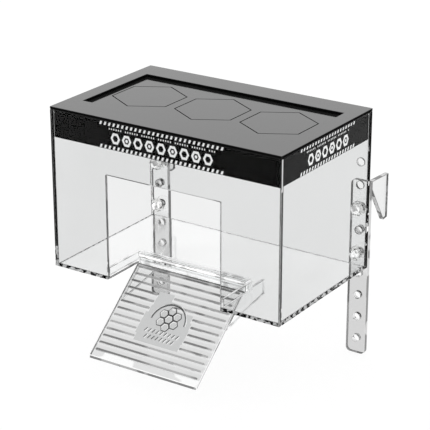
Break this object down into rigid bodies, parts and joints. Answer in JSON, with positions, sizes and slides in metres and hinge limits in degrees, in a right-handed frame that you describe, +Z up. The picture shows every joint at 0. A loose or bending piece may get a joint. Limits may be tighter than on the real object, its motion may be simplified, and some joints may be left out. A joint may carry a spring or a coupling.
{
  "type": "hang-on turtle basking box",
  "caption": "Clear box that hangs on a tank rim, with a dark lift-off lid with hexagonal covers, a front doorway and a grooved climbing ramp under it",
  "frame": {"origin": "Midway between the two rim hooks, where the inner top edge of the tank's glass sits: the plane of the screw heads' backs, under the hooks", "axes": "X to the right seen from the doorway side, Y from the doorway back over the tank rim, Z up"},
  "size_m": [0.28, 0.2579, 0.281],
  "materials": {
    "clear_acrylic": "polished clear sheet",
    "ramp_acrylic": "clear sheet with routed frosted grooves",
    "black_acrylic": "polished opaque black sheet",
    "clear_nylon": "moulded translucent plastic"
  },
  "bodies": {
    "box": {"front_panel": "clear_acrylic", "back_panel": "clear_acrylic", "left_panel": "clear_acrylic", "right_panel": "clear_acrylic", "floor_panel": "clear_acrylic", "curb_left": "clear_acrylic", "curb_right": "clear_acrylic", "curb_back": "clear_acrylic"},
    "lid": {"top_frame": "black_acrylic", "hex_plate": "black_acrylic", "cover_rail_front": "black_acrylic", "cover_rail_back": "black_acrylic", "skirt_front": "black_acrylic", "skirt_back": "black_acrylic", "skirt_left": "black_acrylic", "skirt_right": "black_acrylic"},
    "ramp": {"ramp_plate": "ramp_acrylic", "ramp_lip": "ramp_acrylic", "ramp_hook_strip": "ramp_acrylic", "ramp_hook_flange": "ramp_acrylic", "ramp_gusset_left": "ramp_acrylic", "ramp_gusset_right": "ramp_acrylic"},
    "hex_cover_left": {"hex_cover_left": "black_acrylic"},
    "hex_cover_middle": {"hex_cover_middle": "black_acrylic"},
    "hex_cover_right": {"hex_cover_right": "black_acrylic"},
    "strap_left": {"strap_left": "clear_acrylic", "rim_hook_left": "clear_acrylic", "screw_left_lower": "clear_nylon", "screw_left_upper": "clear_nylon"},
    "nut_left_lower": {"nut_left_lower": "clear_nylon"},
    "nut_left_upper": {"nut_left_upper": "clear_nylon"},
    "strap_right": {"strap_right": "clear_acrylic", "rim_hook_right": "clear_acrylic", "screw_right_lower": "clear_nylon", "screw_right_upper": "clear_nylon"},
    "nut_right_lower": {"nut_right_lower": "clear_nylon"},
    "nut_right_upper": {"nut_right_upper": "clear_nylon"}
  },
  "joints": [
    {"name": "lid_lift", "type": "slide", "parent": "box", "child": "lid", "axis": [0, 0, 1], "range_m": [0, 0.04]},
    {"name": "hex_cover_left_lift", "type": "slide", "parent": "lid", "child": "hex_cover_left", "axis": [0, 0, 1], "range_m": [0, 0.03]},
    {"name": "hex_cover_middle_lift", "type": "slide", "parent": "lid", "child": "hex_cover_middle", "axis": [0, 0, 1], "range_m": [0, 0.03]},
    {"name": "hex_cover_right_lift", "type": "slide", "parent": "lid", "child": "hex_cover_right", "axis": [0, 0, 1], "range_m": [0, 0.03]},
    {"name": "ramp_swing", "type": "hinge", "parent": "box", "child": "ramp", "pos_m": [0, -0.1296, -0.061], "axis": [-1, 0, 0], "range_deg": [0, 20]},
    {"name": "strap_left_pull_off", "type": "slide", "parent": "box", "child": "strap_left", "axis": [0, 1, 0], "range_m": [0, 0.03]},
    {"name": "strap_right_pull_off", "type": "slide", "parent": "box", "child": "strap_right", "axis": [0, 1, 0], "range_m": [0, 0.03]},
    {"name": "nut_left_lower_spin", "type": "hinge", "parent": "box", "child": "nut_left_lower", "pos_m": [-0.1285, -0.0129, -0.054], "axis": [0, -1, 0], "continuous": true},
    {"name": "nut_left_upper_spin", "type": "hinge", "parent": "box", "child": "nut_left_upper", "pos_m": [-0.1285, -0.0129, -0.003], "axis": [0, -1, 0], "continuous": true},
    {"name": "nut_right_lower_spin", "type": "hinge", "parent": "box", "child": "nut_right_lower", "pos_m": [0.1285, -0.0129, -0.054], "axis": [0, -1, 0], "continuous": true},
    {"name": "nut_right_upper_spin", "type": "hinge", "parent": "box", "child": "nut_right_upper", "pos_m": [0.1285, -0.0129, -0.003], "axis": [0, -1, 0], "continuous": true}
  ]
}
